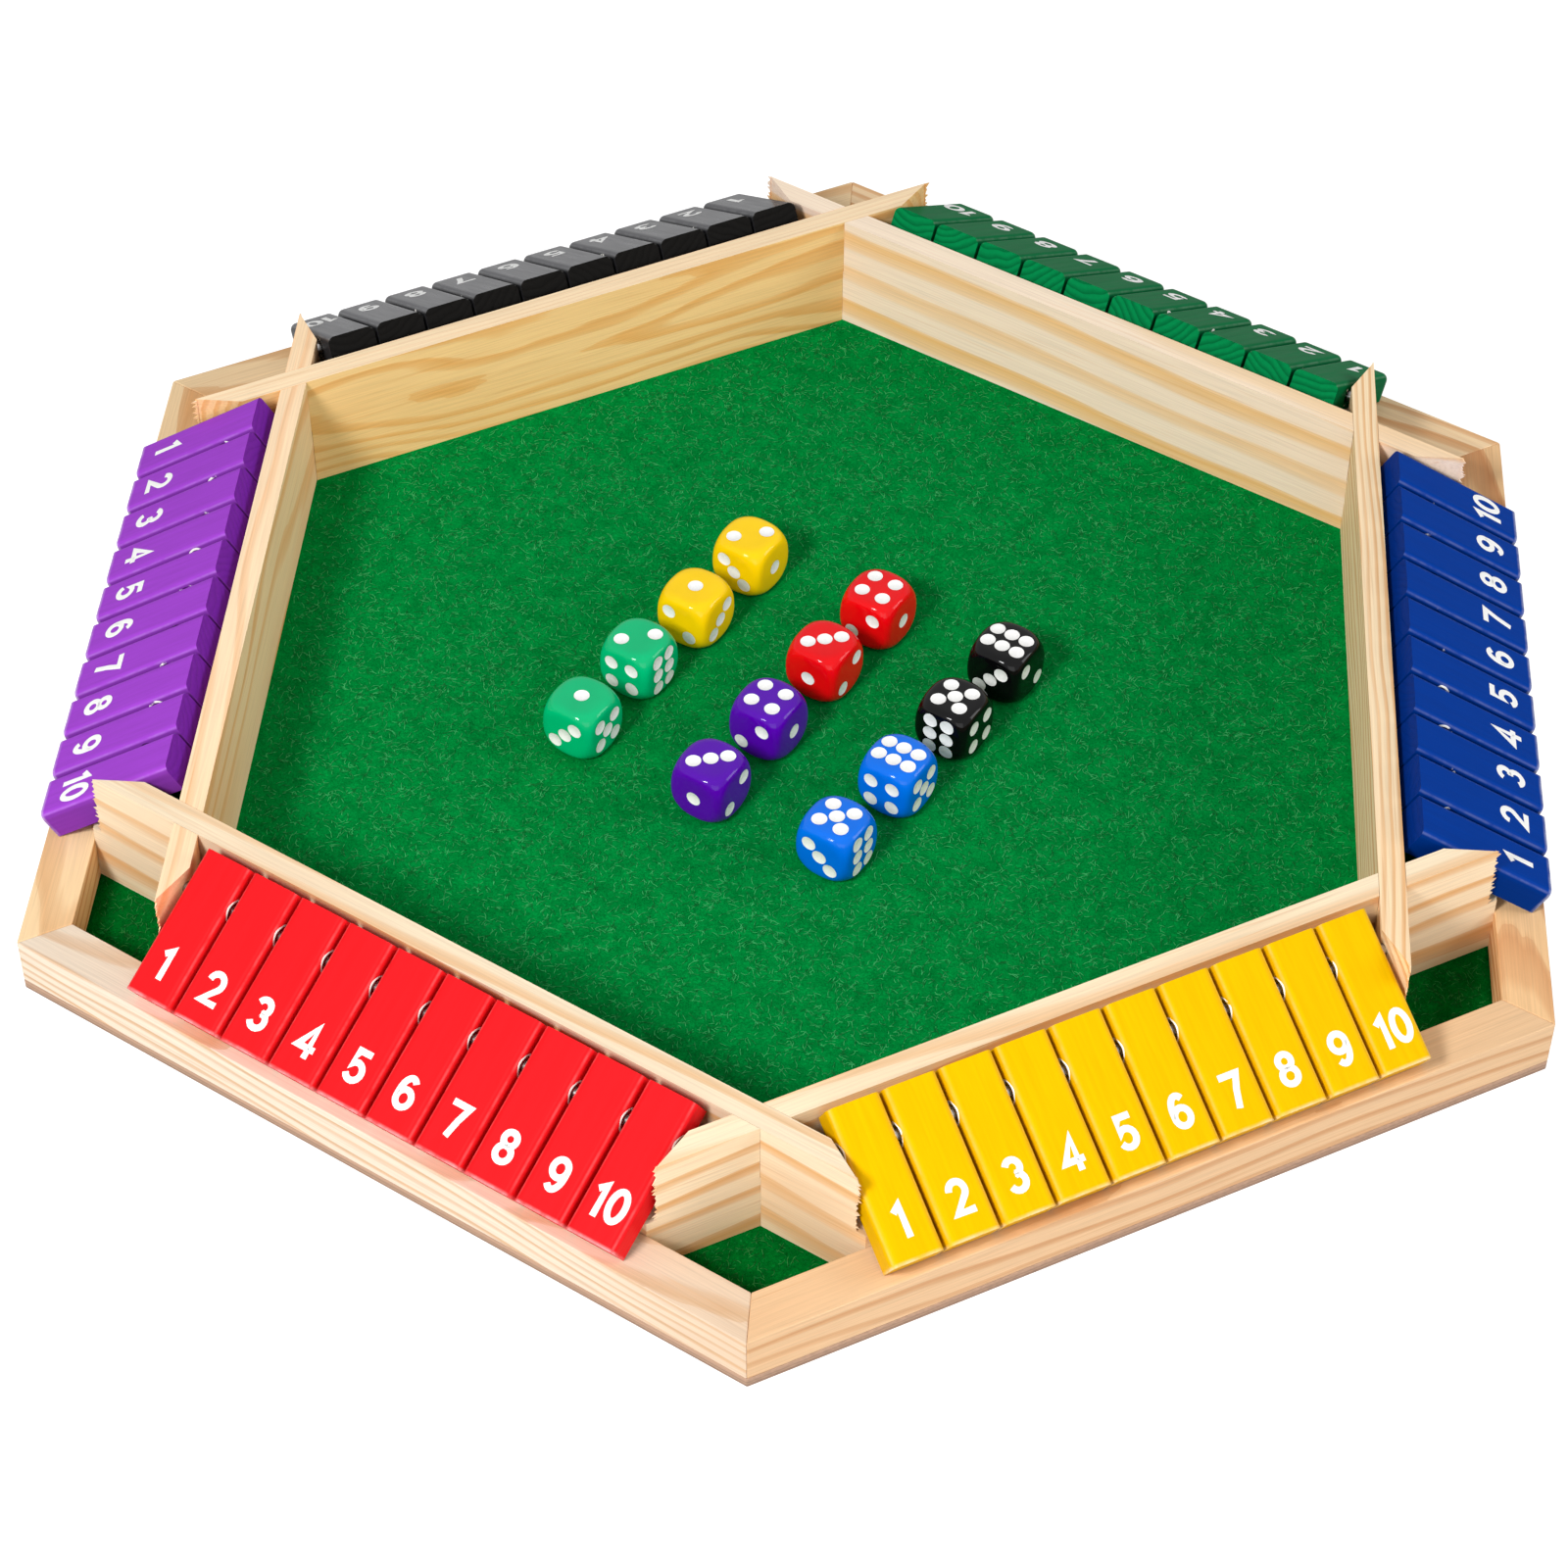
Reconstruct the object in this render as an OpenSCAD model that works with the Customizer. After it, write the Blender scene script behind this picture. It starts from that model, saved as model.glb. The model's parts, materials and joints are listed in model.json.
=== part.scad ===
// Six-sided shut the box game for six players.
// A felt-lined hexagonal box has six walls that cross near its corners, and in the bay behind
// each wall ten numbered tiles turn on one steel rod. Two dice of each player's colour lie on
// the felt. Two opposite corners of the hexagon lie on the X axis, and the box stands on z = 0.

/* [Box] */
// Width across the flats of the hexagonal box, over the rails
across_flats = 374; // [360:1:420]
// Thickness of the plywood base board
base_t = 3; // [2:0.5:6]
// Thickness of the felt on the base board
felt_t = 1; // [0.5:0.25:2]

/* [Rim rails] */
// Width of a rail, seen from above
rail_w = 12.4; // [9:0.2:15]
// Height of a rail above the base board
rail_h = 13.5; // [10:0.5:20]

/* [Walls] */
// Thickness of a wall
wall_t = 6.5; // [5:0.25:9]
// Wood left in a wall above the rod
wall_over_rod = 3.5; // [2:0.25:6]
// Gap between a tile's underside and the low ledge at a wall's end
ledge_gap = 1.4; // [0.6:0.1:4]
// Play on each side where two walls are lapped into each other
lap_gap = 0.1; // [0.05:0.05:0.4]

/* [Tiles] */
// Number of tiles in a row
tile_count = 10; // [6:1:10]
// Length of a tile
tile_l = 38.8; // [34:0.2:44]
// Width of a tile
tile_w = 13.5; // [11:0.25:13.75]
// Thickness of a tile
tile_t = 8; // [6.5:0.25:9]
// Radius of a tile's long upper edges
tile_edge_r = 1.9; // [0.5:0.1:3]
// Gap between two tiles
tile_gap = 0.97; // [0.5:0.01:1.2]
// Gap between the last tile of a row and the wall ends that hold its rod
row_end_gap = 1.4; // [0.6:0.1:2]
// Slope of a tile that lies on the rail, in degrees
tile_slope = 30; // [24:1:34]
// Distance from the rail's outer face in to the edge that a tile rests on
rest_inset = 3.3; // [1:0.1:6]
// Gap under the resting edge
rest_gap = 0.2; // [0.1:0.05:0.3]
// Gap between the swinging end of a tile and the wall
swing_gap = 0.4; // [0.2:0.05:1]

/* [Rods] */
// Diameter of a steel rod
rod_d = 3; // [2:0.25:3.5]
// Distance from a tile's inner end to the rod
rod_back = 10.4; // [8:0.2:12]
// Play around the rod in a tile's bore, on the radius
bore_play = 0.08; // [0.03:0.01:0.1]
// Diameter of the wider mouth of a tile's bore
mouth_d = 5.4; // [4.4:0.1:5.8]
// Depth of the mouth on each side of a tile
mouth_depth = 0.7; // [0.3:0.1:1.5]
// Play around and beyond the rod's end in its blind hole
rod_end_play = 0.05; // [0.02:0.01:0.1]

/* [Dice] */
// Size of a die across its faces
die_s = 16; // [12:0.5:18]
// Radius of a die's edges
die_edge_r = 2.2; // [1:0.1:3.5]
// Diameter of the ball that rounds a die's corners, as a share of its size
die_ball = 1.33; // [1.25:0.01:1.45]
// Diameter of a pip
pip_d = 4.1; // [2.5:0.1:4.3]
// Depth of a pip
pip_depth = 0.35; // [0.2:0.05:0.6]
// Distance of a pip from the middle lines on a two, three, four and five
pip_out = 3.2; // [2.8:0.1:3.6]
// Distance of a six's two rows from the middle line
six_out = 2.5; // [2.3:0.1:2.8]
// Spacing of the three pips in a six's row
six_step = 4.4; // [4.2:0.1:4.6]
// Spacing of the three columns of dice
die_column_step = 40; // [24:1:60]
// Spacing of the four dice in a column
die_row_step = 25.7; // [20:0.5:34]
// Middle of the dice, left or right of the box's middle
dice_x = -2; // [-10:1:10]
// Middle of the dice, in front of or behind the box's middle
dice_y = -2.6; // [-10:0.2:10]

/* [Hidden] */
$fn = 72;
// Cut past a face, so that it leaves no skin
cut = 1;

COLOURS = ["red", "yellow", "blue", "green", "black", "purple"];
// Direction in which each colour's side of the box faces, in degrees
SIDE_ANGLE = [270, 330, 30, 90, 150, 210];
// Colours whose tiles are nodes of their own, and those whose row is one node of ten solids
SINGLE_TILES = [0, 1, 2];
TILE_ROWS = [3, 4, 5];

// Heights, measured up from the table
felt_top = base_t + felt_t;
rail_top = base_t + rail_h;

// Outlines, measured from the middle of the box to a side
half_flats = across_flats / 2;
rail_inner = half_flats - rail_w;

// The rod stands where a sloping tile's lower edge comes down on the rail
tile_front = tile_l - rod_back;
rod_z = rail_top + rest_gap + tile_front * sin(tile_slope) + tile_t / 2 * cos(tile_slope);
rod_n = half_flats - rest_inset - tile_front * cos(tile_slope) + tile_t / 2 * sin(tile_slope);
rod_bore_d = rod_d + 2 * bore_play;
rod_bed_d = rod_d + 2 * rod_end_play;

// The wall stands just clear of the circle that a tile's inner end swings through
swing_r = norm([rod_back, tile_t / 2]);
wall_outer = rod_n - swing_r - swing_gap;
wall_inner = wall_outer - wall_t;
wall_top = rod_z + rod_d / 2 + wall_over_rod;
lap_z = (felt_top + wall_top) / 2;
// Lowest that a tile comes over the bay, at the rail and while its inner end swings through
tile_over_rail = rail_top + rest_gap + (rail_w - rest_inset) * tan(tile_slope);
ledge_top = min(tile_over_rail, rod_z - swing_r) - ledge_gap;

// Along a side, measured from its middle
tile_pitch = tile_w + tile_gap;
row_half = (tile_count * tile_pitch - tile_gap) / 2;
trim_half = row_half + row_end_gap;

// A rod's axis passes through the end of the neighbouring wall, and the rod ends midway in it
function axis_meets(face) = (face - rod_n * cos(60)) / sin(60);
hold_start = max(trim_half, axis_meets(wall_inner));
hold_end = axis_meets(wall_outer);
rod_half = (hold_start + hold_end) / 2;

// Dice
die_r = die_s / 2;
// A pip is the dent that a ball leaves
pip_ball_r = (pow(pip_d / 2, 2) + pow(pip_depth, 2)) / (2 * pip_depth);

// Each die's column and row on the felt, a little off the even grid, then its faces: the number
// on top and whether its pattern is turned, the same for the face towards -Y, and the same for
// the face towards +X
DICE = [
    [1.02, -0.01,  4, 0,  2, 0,  1, 0], [1, 0.96,  3, 0,  1, 0,  2, 0], // red
    [0.01, 0.05,  2, 0,  3, 1,  1, 0], [0, 1.04,  1, 0,  2, 1,  3, 0], // yellow
    [1.98, 1.94,  6, 1,  4, 0,  5, 0], [1.96, 3.01,  5, 0,  3, 1,  6, 0], // blue
    [-0.03, 2,  2, 0,  4, 0,  6, 0], [-0.01, 3.03,  1, 0,  3, 0,  5, 0], // green
    [2, -0.07,  6, 1,  3, 0,  2, 1], [2, 0.93,  5, 0,  6, 0,  4, 0], // black
    [1, 1.99,  4, 0,  2, 0,  1, 0], [1.01, 3.04,  3, 0,  1, 0,  2, 0], // purple
];

function tile_name(c, k) = str("tile_", COLOURS[c], k < 10 ? "_0" : "_", k);

// A six-sided plate whose sides face the six colours' directions
module hexagon_plate(half, z0, z1) {
    translate([0, 0, z0])
        cylinder(r = half / cos(30), h = z1 - z0, $fn = 6);
}

// Turns a piece drawn for the +X side of the box to a colour's side
module on_side(c) {
    rotate([0, 0, SIDE_ANGLE[c]]) children();
}

module base_board() {
    color("tan")
        hexagon_plate(half_flats, 0, base_t);
}

module felt_sheet() {
    color("green")
        hexagon_plate(rail_inner, base_t, felt_top);
}

// One rail of the rim, mitred to its neighbours
module rail(c) {
    color("burlywood")
        on_side(c)
            translate([0, 0, base_t])
                linear_extrude(rail_h)
                    polygon([
                        [rail_inner, -rail_inner * tan(30)],
                        [half_flats, -half_flats * tan(30)],
                        [half_flats, half_flats * tan(30)],
                        [rail_inner, rail_inner * tan(30)]
                    ]);
}

// Runs along the whole side between two distances from the middle of the box
module along_side(n0, n1, z0, z1) {
    translate([n0, -half_flats, z0])
        cube([n1 - n0, across_flats, z1 - z0]);
}

// A straight bar along the rod's axis
module rod_bar(d, half) {
    translate([rod_n, 0, rod_z])
        rotate([90, 0, 0])
            cylinder(d = d, h = 2 * half, center = true);
}

// What a wall has cut away for a neighbouring side: its half of the lap joint, the upper part
// of its end, so that the tiles can swing past, and the blind hole for the rod
module neighbour_cuts(slot_from_below) {
    slot_z0 = slot_from_below ? felt_top - 2 * cut : lap_z;
    slot_z1 = slot_from_below ? lap_z : wall_top + 2 * cut;
    along_side(wall_inner - lap_gap, wall_outer + lap_gap, slot_z0, slot_z1);
    translate([wall_outer, -trim_half, ledge_top])
        cube([rail_w + half_flats - wall_outer, 2 * trim_half, wall_top]);
    rod_bar(rod_bed_d, rod_half + rod_end_play);
}

// A wall runs from rail to rail and crosses both neighbours. Every second wall is slotted
// from below and keeps its upper edge whole.
module wall(c) {
    color("wheat")
        intersection() {
            hexagon_plate(rail_inner, felt_top, wall_top);
            on_side(c)
                difference() {
                    along_side(wall_inner, wall_outer, felt_top - cut, wall_top + cut);
                    for (side = [-60, 60])
                        rotate([0, 0, side])
                            neighbour_cuts(slot_from_below = c % 2 == 0);
                }
        }
}

module rod(c) {
    color("silver")
        on_side(c)
            rod_bar(rod_d, rod_half);
}

// A tile's cross-section, flat below and with both upper edges rounded
module tile_section() {
    square_w = tile_w - 2 * tile_edge_r;
    translate([-tile_w / 2, -tile_t / 2])
        square([tile_w, tile_t - tile_edge_r]);
    translate([-square_w / 2, -tile_t / 2])
        square([square_w, tile_t]);
    for (side = [-1, 1])
        translate([side * square_w / 2, tile_t / 2 - tile_edge_r])
            circle(r = tile_edge_r);
}

// A tile along +X with the rod through the origin
module tile_shape() {
    difference() {
        translate([-rod_back, 0, 0])
            rotate([90, 0, 90])
                linear_extrude(tile_l)
                    tile_section();
        rotate([90, 0, 0])
            cylinder(d = rod_bore_d, h = tile_w + 2 * cut, center = true);
        for (side = [0, 180])
            rotate([0, 0, side])
                translate([0, tile_w / 2 - mouth_depth, 0])
                    rotate([-90, 0, 0])
                        cylinder(d = mouth_d, h = mouth_depth + cut);
    }
}

// Tile number k of a row, lying on its rail
module tile(c, k) {
    color(COLOURS[c])
        on_side(c)
            translate([rod_n, (k - (tile_count + 1) / 2) * tile_pitch, rod_z])
                rotate([0, tile_slope, 0])
                    tile_shape();
}

module tile_row(c) {
    for (k = [1:tile_count])
        tile(c, k);
}

// A square with round corners
module rounded_square(s, r) {
    square([s, s - 2 * r], center = true);
    square([s - 2 * r, s], center = true);
    for (x = [-1, 1], y = [-1, 1])
        translate([x * (s / 2 - r), y * (s / 2 - r)])
            circle(r = r);
}

// Places of the pips of a number; a turned pattern runs the other way
function pip_places(number, turned) =
    let (
        slant = turned == 1 ? -1 : 1,
        middle = number % 2 == 1 ? [[0, 0]] : [],
        first = number > 1 && number < 6
            ? [[pip_out, slant * pip_out], [-pip_out, -slant * pip_out]] : [],
        second = number > 3 && number < 6
            ? [[pip_out, -slant * pip_out], [-pip_out, slant * pip_out]] : [],
        six = number == 6
            ? [for (row = [-1, 1], i = [-1:1])
                turned == 1 ? [i * six_step, row * six_out] : [row * six_out, i * six_step]]
            : []
    )
    concat(middle, first, second, six);

// Balls that dent the face towards +Z
module pips_on_top(number, turned) {
    for (p = pip_places(number, turned))
        translate([p[0], p[1], die_r + pip_ball_r - pip_depth])
            sphere(r = pip_ball_r);
}

// Faces are numbered so that opposite faces add up to seven
module die(d) {
    front = [90, 0, 0];
    right = [90, 0, 90];
    difference() {
        intersection() {
            sphere(d = die_s * die_ball);
            for_all_axes(die_s)
                rounded_square(die_s, die_edge_r);
        }
        pips_on_top(d[2], d[3]);
        rotate(front) pips_on_top(d[4], d[5]);
        rotate(right) pips_on_top(d[6], d[7]);
        mirror([0, 0, 1]) pips_on_top(7 - d[2], 0);
        mirror([0, 1, 0]) rotate(front) pips_on_top(7 - d[4], 0);
        mirror([1, 0, 0]) rotate(right) pips_on_top(7 - d[6], 0);
    }
}

// What three bars of the same section have in common when they cross along X, Y and Z
module for_all_axes(length) {
    intersection_for (turn = [[0, 0, 0], [90, 0, 0], [90, 0, 90]])
        rotate(turn)
            linear_extrude(length, center = true)
                children();
}

// The two dice of a player
module dice(c) {
    color(COLOURS[c])
        for (d = [DICE[2 * c], DICE[2 * c + 1]])
            translate([
                dice_x + (d[0] - 1) * die_column_step,
                dice_y + (1.5 - d[1]) * die_row_step,
                felt_top + die_r
            ])
                die(d);
}

base_board();
felt_sheet();
for (c = [0:5]) {
    rail(c);
    wall(c);
    rod(c);
    dice(c);
}
for (c = SINGLE_TILES, k = [1:tile_count])
    tile(c, k);
for (c = TILE_ROWS)
    tile_row(c);
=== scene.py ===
# A six-sided shut the box game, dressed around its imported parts: raw pine, painted tiles with
# their numbers, felt with loose fibres, and dice with painted pips.
import json
import math
import random

import bmesh
import bpy
from mathutils import Euler, Matrix, Vector, noise

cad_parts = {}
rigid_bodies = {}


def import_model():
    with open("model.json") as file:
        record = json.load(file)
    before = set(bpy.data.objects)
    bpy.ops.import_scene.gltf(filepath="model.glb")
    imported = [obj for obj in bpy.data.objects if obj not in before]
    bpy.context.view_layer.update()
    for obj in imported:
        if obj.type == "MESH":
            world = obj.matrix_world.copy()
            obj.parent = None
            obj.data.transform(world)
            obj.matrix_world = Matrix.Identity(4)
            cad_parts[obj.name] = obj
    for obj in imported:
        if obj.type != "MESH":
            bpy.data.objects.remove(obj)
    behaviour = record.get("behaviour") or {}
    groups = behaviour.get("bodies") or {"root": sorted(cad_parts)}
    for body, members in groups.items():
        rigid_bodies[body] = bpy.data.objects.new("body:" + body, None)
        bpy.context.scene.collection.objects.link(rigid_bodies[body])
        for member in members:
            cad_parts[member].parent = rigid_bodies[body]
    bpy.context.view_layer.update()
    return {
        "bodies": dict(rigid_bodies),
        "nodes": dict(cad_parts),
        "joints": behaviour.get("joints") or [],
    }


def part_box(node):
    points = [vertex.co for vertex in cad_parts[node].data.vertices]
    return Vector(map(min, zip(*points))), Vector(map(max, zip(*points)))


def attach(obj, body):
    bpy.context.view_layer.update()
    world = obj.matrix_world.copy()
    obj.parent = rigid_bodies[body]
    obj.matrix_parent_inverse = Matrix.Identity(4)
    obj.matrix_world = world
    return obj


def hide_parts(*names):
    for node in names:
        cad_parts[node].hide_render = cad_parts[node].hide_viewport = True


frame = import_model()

MM = 0.001
COLOURS = ("red", "yellow", "blue", "green", "black", "purple")
TILES = 10

# Sizes that the CAD model has too
TILE_LENGTH = 38.8 * MM
TILE_THICKNESS = 8 * MM
TILE_SLOPE = math.radians(30)
ROD_TO_INNER_END = 10.4 * MM
BORE_MOUTH_RADIUS = 2.7 * MM
BOARD_THICKNESS = 3 * MM
DIE_HALF = 8 * MM
PIP_RADIUS = 2.05 * MM
PIP_DEPTH = 0.35 * MM
PIP_OUT = 3.2 * MM
SIX_OUT = 2.5 * MM
SIX_STEP = 4.4 * MM

# The photograph's camera, found from the box's own corners in the 1600 x 1600 picture; its
# place is in metres
CAMERA_AZIMUTH = math.radians(33.592)
CAMERA_ELEVATION = math.radians(45.287)
CAMERA_ROLL = math.radians(0.354)
CAMERA_PLACE = (0.4032, -0.6178, 0.7214)
PHOTO_WIDTH_PX = 1600
FOCAL_LENGTH_PX = 3973.5
SENSOR_WIDTH_MM = 36

JOINTS = {joint["name"]: joint for joint in frame["joints"]}


def srgb(red, green, blue):
    """A screen colour of 0 to 255 as the linear colour that a shader takes."""
    def linear(level):
        level /= 255
        return level / 12.92 if level <= 0.04045 else ((level + 0.055) / 1.055) ** 2.4
    return linear(red), linear(green), linear(blue), 1.0


# ---------------------------------------------------------------- places on the box

def tile_body(colour, number):
    """The body that a tile turns with: its own, or its whole row."""
    single = f"tile_{colour}_{number:02d}"
    return single if single in frame["bodies"] else f"tiles_{colour}"


def tile_joint(colour, number):
    return JOINTS[tile_body(colour, number) + "_flip"]


def side_angle(colour):
    """The direction in which a colour's side of the box faces."""
    x, y, _ = tile_joint(colour, 1)["axis"]
    return math.atan2(x, -y)


def rod_middle(colour):
    ends = [Vector(tile_joint(colour, number)["pos_m"]) for number in (1, TILES)]
    return (ends[0] + ends[1]) / 2


PITCH = (Vector(tile_joint("red", 2)["pos_m"]) - Vector(tile_joint("red", 1)["pos_m"])).length
TILE_WIDTH = (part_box("tile_red_01")[1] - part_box("tile_red_01")[0]).x
# Distances of a rail's inner face and a wall's two faces from the box's middle
RAIL_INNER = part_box("rail_green")[0].y
WALL_FACES = [corner.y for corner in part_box("wall_green")]
WALL_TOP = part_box("wall_green")[1].z
FELT_LOW, FELT_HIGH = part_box("felt_sheet")
# The directions in which the six sides face
SIDE_WAYS = [Vector((math.cos(side_angle(colour)), math.sin(side_angle(colour))))
             for colour in COLOURS]


def row_frame(colour):
    """From the rod's middle: x along the tiles to their free ends, y along the row, z up out
    of the number faces."""
    turn = Euler((0, TILE_SLOPE, side_angle(colour))).to_matrix().to_4x4()
    return Matrix.Translation(rod_middle(colour)) @ turn


def tile_frame(colour, number):
    along = (number - (TILES + 1) / 2) * PITCH
    return row_frame(colour) @ Matrix.Translation((0, along, 0))


# ---------------------------------------------------------------- material building

class Shader:
    """A material's node tree, with short calls that add a node and give its output."""

    def __init__(self, name, constants):
        self.material = bpy.data.materials.new(name)
        self.material.use_nodes = True
        self.tree = self.material.node_tree
        self.surface = self.tree.nodes["Principled BSDF"]
        for socket, value in constants.items():
            self.surface.inputs[socket].default_value = value

    def join(self, socket, value):
        """Gives an input socket a constant, or another node's output."""
        if isinstance(value, bpy.types.NodeSocket):
            self.tree.links.new(value, socket)
        elif value is not None:
            socket.default_value = value

    def finish(self, colour, roughness=None, height=None, bump=0.0):
        """Joins what was made to the surface. bump is the height's full depth in metres."""
        self.join(self.surface.inputs["Base Color"], colour)
        self.join(self.surface.inputs["Roughness"], roughness)
        if height is not None:
            relief = self.node("Bump", {"Height": height, "Distance": bump, "Strength": 1.0})
            self.join(self.surface.inputs["Normal"], relief.outputs["Normal"])
        return self.material

    def node(self, kind, inputs, **settings):
        made = self.tree.nodes.new("ShaderNode" + kind)
        for name, value in settings.items():
            setattr(made, name, value)
        for place, value in inputs.items():
            self.join(made.inputs[place], value)
        return made

    def math(self, operation, *values, clamp=False):
        inputs = dict(enumerate(values))
        return self.node("Math", inputs, operation=operation, use_clamp=clamp).outputs[0]

    def add(self, *values):
        total = values[0]
        for value in values[1:]:
            total = self.math("ADD", total, value)
        return total

    def most(self, *values):
        largest = values[0]
        for value in values[1:]:
            largest = self.math("MAXIMUM", largest, value)
        return largest

    def scaled(self, value, factor, shift=0.0):
        return self.math("MULTIPLY_ADD", value, factor, shift)

    def vector(self, operation, *values):
        made = self.node("VectorMath", dict(enumerate(values)), operation=operation)
        is_number = operation in ("LENGTH", "DISTANCE", "DOT_PRODUCT")
        return made.outputs["Value" if is_number else "Vector"]

    def place(self, origin=(0, 0, 0), turn=(0, 0, 0)):
        """Where a point of the object is, seen from a frame of its own."""
        where = self.node("TexCoord", {}).outputs["Object"]
        inputs = {"Vector": where, "Location": origin, "Rotation": turn}
        return self.node("Mapping", inputs, vector_type="TEXTURE").outputs[0]

    def stretch(self, where, scale, shift=(0, 0, 0)):
        """A place for a noise: scale is its cells to a metre along each axis."""
        inputs = {"Vector": where, "Scale": scale, "Location": shift}
        return self.node("Mapping", inputs).outputs[0]

    def facing(self):
        """The outward direction of the surface."""
        return self.node("TexCoord", {}).outputs["Normal"]

    def parts(self, where):
        return self.node("SeparateXYZ", {0: where}).outputs

    def noise(self, where, detail=2.0, roughness=0.5, distortion=0.0):
        inputs = {"Vector": where, "Scale": 1.0, "Detail": detail, "Roughness": roughness,
                  "Distortion": distortion}
        return self.node("TexNoise", inputs).outputs[0]

    def chance(self, value):
        """A random number from 0 to 1 for each whole number."""
        return self.node("TexWhiteNoise", {"W": value}, noise_dimensions="1D").outputs["Value"]

    def curve(self, value, *stops):
        """A value looked up between (position, value) stops."""
        made = self.node("ValToRGB", {0: value})
        elements = made.color_ramp.elements
        for place, (position, level) in enumerate(stops):
            element = elements[place] if place < 2 else elements.new(position)
            element.position = position
            element.color = level if isinstance(level, tuple) else (level, level, level, 1)
        return made.outputs["Color"]

    def span(self, value, low, high):
        """0 below low and 1 above high, smooth between them."""
        inputs = {"Value": value, "From Min": low, "From Max": high}
        return self.node("MapRange", inputs, interpolation_type="SMOOTHSTEP").outputs[0]

    def mix(self, amount, first, second, blend="MIX"):
        inputs = {0: amount, 6: first, 7: second}
        return self.node("Mix", inputs, data_type="RGBA", blend_type=blend).outputs[2]

    def tint(self, colour, brightness):
        """The colour made lighter or darker by a factor."""
        return self.mix(1.0, colour, brightness, "MULTIPLY")


# ---------------------------------------------------------------- materials

# Pine: how far its growth rings wander and ripple, the painted light colour that the walls'
# upward-facing tops pale to, and the level of its fine dark lines
RING_WANDER = 9 * MM
RING_RIPPLE = 1.4 * MM
PAINTED_TOP_LIGHT = srgb(255, 240, 212)
LINE_LEVEL = (0.86, 0.78, 0.7, 1)


def ring_count(s, where, pith, ring, tilt, seed):
    """How many growth rings lie between the trunk's middle and a point of the board."""
    wander = s.noise(s.stretch(where, (38, 9, 38), (seed, seed, 0)), 1)
    ripple = s.noise(s.stretch(where, (170, 20, 170), (0, seed, seed)), 2)
    radius = s.vector("DISTANCE", s.vector("MULTIPLY", where, (1, 0, 1)), (pith[0], 0, pith[1]))
    radius = s.add(radius, s.scaled(s.parts(where)[1], tilt),
                   s.scaled(wander, RING_WANDER), s.scaled(ripple, RING_RIPPLE))
    return s.math("DIVIDE", radius, ring)


def late_wood(s, count, late, unevenness):
    """How far a point is in dark late wood: at the end of each ring, fainter in some rings."""
    ragged = s.add(s.math("FRACT", count), s.scaled(unevenness, 0.1, -0.1))
    band = s.curve(ragged, (0.0, 0.2), (0.04, 0.0), (0.92 - late, 0.0), (1.02 - late, 0.6),
                   (0.9, 1.0), (0.98, 0.7))
    own = s.scaled(s.chance(s.math("FLOOR", count)), 0.4, 0.6)
    return s.math("MULTIPLY", band, own)


def pine(name, angle, pith, ring, tilt, late, top_painted_light, tones, seed):
    """Pine along a side of the box. pith is where the trunk's middle lies, outwards and up;
    ring is the growth rings' spacing, late the share of each that is darker late wood, and
    tilt how fast the board runs out through them. A wall's upward-facing top is painted paler,
    as painted light."""
    s = Shader(name, {"Specular IOR Level": 0.2})
    where = s.place(turn=(0, 0, angle))
    fibre = s.noise(s.stretch(where, (2300, 40, 2300), (0, seed, 0)), 2)
    streak = s.noise(s.stretch(where, (900, 16, 900), (seed, 0, seed)), 3, 0.6)
    band = late_wood(s, ring_count(s, where, pith, ring, tilt, seed), late, s.add(fibre, streak))
    glow = s.noise(s.stretch(where, (22, 5, 22), (seed, 0, seed)), 2)
    light, dark = (srgb(*tone) for tone in tones)
    colour = s.mix(band, light, dark)
    colour = s.mix(s.scaled(s.span(glow, 0.48, 0.74), 0.45), colour, dark)
    # Painted light: a wall's upward-facing top is mixed paler
    on_top = s.math("MULTIPLY", s.span(s.parts(s.facing())[2], 0.6, 0.9),
                    s.span(s.parts(where)[2], WALL_TOP - 2 * MM, WALL_TOP - MM))
    colour = s.mix(s.scaled(on_top, top_painted_light), colour, PAINTED_TOP_LIGHT)
    colour = s.tint(colour, s.curve(fibre, (0.25, 0.89), (0.68, 1.05)))
    lines = s.scaled(s.span(streak, 0.58, 0.74), 0.3)
    colour = s.mix(lines, colour, s.tint(dark, LINE_LEVEL))
    roughness = s.scaled(fibre, 0.2, 0.5)
    height = s.add(s.scaled(fibre, 0.7), s.scaled(band, 0.5))
    return s.finish(colour, roughness, height, bump=0.05 * MM)


def plywood():
    """The base board: a thin face veneer over crossed, darker plies."""
    s = Shader("plywood", {"Specular IOR Level": 0.25})
    where = s.place()
    height = s.parts(where)[2]
    streaks = s.noise(s.stretch(where, (30, 900, 1500)), 3)
    layer = s.curve(s.math("DIVIDE", height, BOARD_THICKNESS), (0.0, srgb(170, 140, 118)),
                    (0.3, srgb(142, 114, 96)), (0.36, srgb(178, 146, 122)),
                    (0.62, srgb(156, 126, 106)), (0.68, srgb(182, 148, 124)))
    colour = s.tint(layer, s.curve(streaks, (0.3, 0.85), (0.7, 1.08)))
    return s.finish(colour, s.scaled(streaks, 0.2, 0.6), streaks, bump=0.06 * MM)


# Painted shade: the level that darkens the corner pockets' felt and its fibres, beside the play
# well's
POCKET_PAINTED_SHADE = (0.5, 0.52, 0.36, 1)
# Two layers of fine hairs: noise cells to a metre, the hairs' breadth, and a shift
FELT_HAIRS = ((330, 0.013, 3.1), (460, 0.011, 8.7))


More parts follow.
